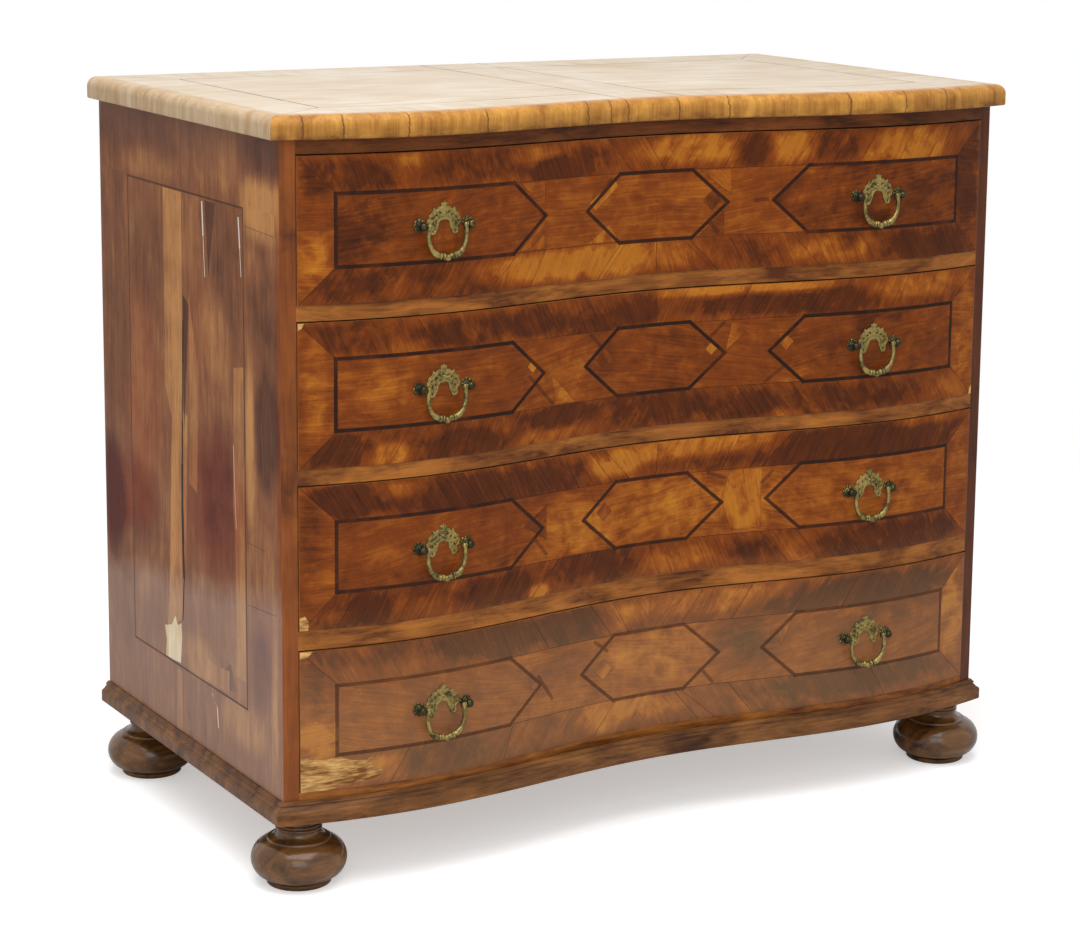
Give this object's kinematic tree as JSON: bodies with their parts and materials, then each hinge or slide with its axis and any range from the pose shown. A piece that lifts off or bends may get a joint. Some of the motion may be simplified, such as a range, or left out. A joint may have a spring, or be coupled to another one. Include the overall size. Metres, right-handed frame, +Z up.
{
  "type": "serpentine chest of drawers",
  "caption": "Serpentine-front chest with long drawers in veneered walnut, moulded overhanging top and base, pierced brass bail pulls and turned bun feet.",
  "frame": {"origin": "on the floor under the feet, midway across the width and the depth of the whole part", "axes": "+Z up, +X along the front, drawers open towards -Y"},
  "size_m": [1.165, 0.6463, 1.001],
  "materials": {
    "walnut_front": "waxed figured walnut veneer with dark inlaid lines",
    "walnut_rail": "waxed cross-grain walnut",
    "walnut_case": "worn vertical-grain walnut veneer",
    "walnut_top": "faded polished walnut veneer",
    "walnut_edge": "polished cross-grain walnut",
    "walnut_dark": "dark waxed turned and moulded walnut",
    "pine": "bare aged pine",
    "brass": "aged brass with green patina"
  },
  "bodies": {
    "carcass": {"top_board": "walnut_top", "top_edge_front": "walnut_edge", "top_edge_left": "walnut_edge", "top_edge_right": "walnut_edge", "side_left": "walnut_case", "side_right": "walnut_case", "back_boards": "pine", "bottom_board": "pine", "top_rail": "walnut_rail", "rail_upper": "walnut_rail", "rail_middle": "walnut_rail", "rail_lower": "walnut_rail", "bottom_rail": "walnut_rail", "drawer_runners": "pine", "top_kickers": "pine", "drawer_stops": "pine", "base_moulding_front": "walnut_dark", "base_moulding_left": "walnut_dark", "base_moulding_right": "walnut_dark", "foot_front_left": "walnut_dark", "foot_front_right": "walnut_dark", "foot_rear_left": "walnut_dark", "foot_rear_right": "walnut_dark", "foot_blocks": "pine"},
    "drawer_1": {"drawer_1_front": "walnut_front", "drawer_1_side_left": "pine", "drawer_1_side_right": "pine", "drawer_1_back": "pine", "drawer_1_bottom": "pine", "drawer_1_plates": "brass", "drawer_1_posts": "brass"},
    "drawer_2": {"drawer_2_front": "walnut_front", "drawer_2_side_left": "pine", "drawer_2_side_right": "pine", "drawer_2_back": "pine", "drawer_2_bottom": "pine", "drawer_2_plates": "brass", "drawer_2_posts": "brass"},
    "drawer_3": {"drawer_3_front": "walnut_front", "drawer_3_side_left": "pine", "drawer_3_side_right": "pine", "drawer_3_back": "pine", "drawer_3_bottom": "pine", "drawer_3_plates": "brass", "drawer_3_posts": "brass"},
    "drawer_4": {"drawer_4_front": "walnut_front", "drawer_4_side_left": "pine", "drawer_4_side_right": "pine", "drawer_4_back": "pine", "drawer_4_bottom": "pine", "drawer_4_plates": "brass", "drawer_4_posts": "brass"},
    "bail_1_left": {"bail_1_left": "brass"},
    "bail_1_right": {"bail_1_right": "brass"},
    "bail_2_left": {"bail_2_left": "brass"},
    "bail_2_right": {"bail_2_right": "brass"},
    "bail_3_left": {"bail_3_left": "brass"},
    "bail_3_right": {"bail_3_right": "brass"},
    "bail_4_left": {"bail_4_left": "brass"},
    "bail_4_right": {"bail_4_right": "brass"}
  },
  "joints": [
    {"name": "drawer_1_slide", "type": "slide", "parent": "carcass", "child": "drawer_1", "axis": [0, -1, 0], "range_m": [0, 0.4]},
    {"name": "drawer_2_slide", "type": "slide", "parent": "carcass", "child": "drawer_2", "axis": [0, -1, 0], "range_m": [0, 0.4]},
    {"name": "drawer_3_slide", "type": "slide", "parent": "carcass", "child": "drawer_3", "axis": [0, -1, 0], "range_m": [0, 0.4]},
    {"name": "drawer_4_slide", "type": "slide", "parent": "carcass", "child": "drawer_4", "axis": [0, -1, 0], "range_m": [0, 0.4]},
    {"name": "bail_1_left_swing", "type": "hinge", "parent": "drawer_1", "child": "bail_1_left", "pos_m": [-0.33961, -0.31511, 0.85675], "axis": [-0.9993, -0.0372, 0], "range_deg": [-6, 185]},
    {"name": "bail_1_right_swing", "type": "hinge", "parent": "drawer_1", "child": "bail_1_right", "pos_m": [0.33961, -0.31511, 0.85675], "axis": [-0.9993, 0.0372, 0], "range_deg": [-6, 185]},
    {"name": "bail_2_left_swing", "type": "hinge", "parent": "drawer_2", "child": "bail_2_left", "pos_m": [-0.33961, -0.31511, 0.64775], "axis": [-0.9993, -0.0372, 0], "range_deg": [-6, 185]},
    {"name": "bail_2_right_swing", "type": "hinge", "parent": "drawer_2", "child": "bail_2_right", "pos_m": [0.33961, -0.31511, 0.64775], "axis": [-0.9993, 0.0372, 0], "range_deg": [-6, 185]},
    {"name": "bail_3_left_swing", "type": "hinge", "parent": "drawer_3", "child": "bail_3_left", "pos_m": [-0.33961, -0.31511, 0.43875], "axis": [-0.9993, -0.0372, 0], "range_deg": [-6, 185]},
    {"name": "bail_3_right_swing", "type": "hinge", "parent": "drawer_3", "child": "bail_3_right", "pos_m": [0.33961, -0.31511, 0.43875], "axis": [-0.9993, 0.0372, 0], "range_deg": [-6, 185]},
    {"name": "bail_4_left_swing", "type": "hinge", "parent": "drawer_4", "child": "bail_4_left", "pos_m": [-0.33961, -0.31511, 0.22475], "axis": [-0.9993, -0.0372, 0], "range_deg": [-6, 185]},
    {"name": "bail_4_right_swing", "type": "hinge", "parent": "drawer_4", "child": "bail_4_right", "pos_m": [0.33961, -0.31511, 0.22475], "axis": [-0.9993, 0.0372, 0], "range_deg": [-6, 185]}
  ]
}
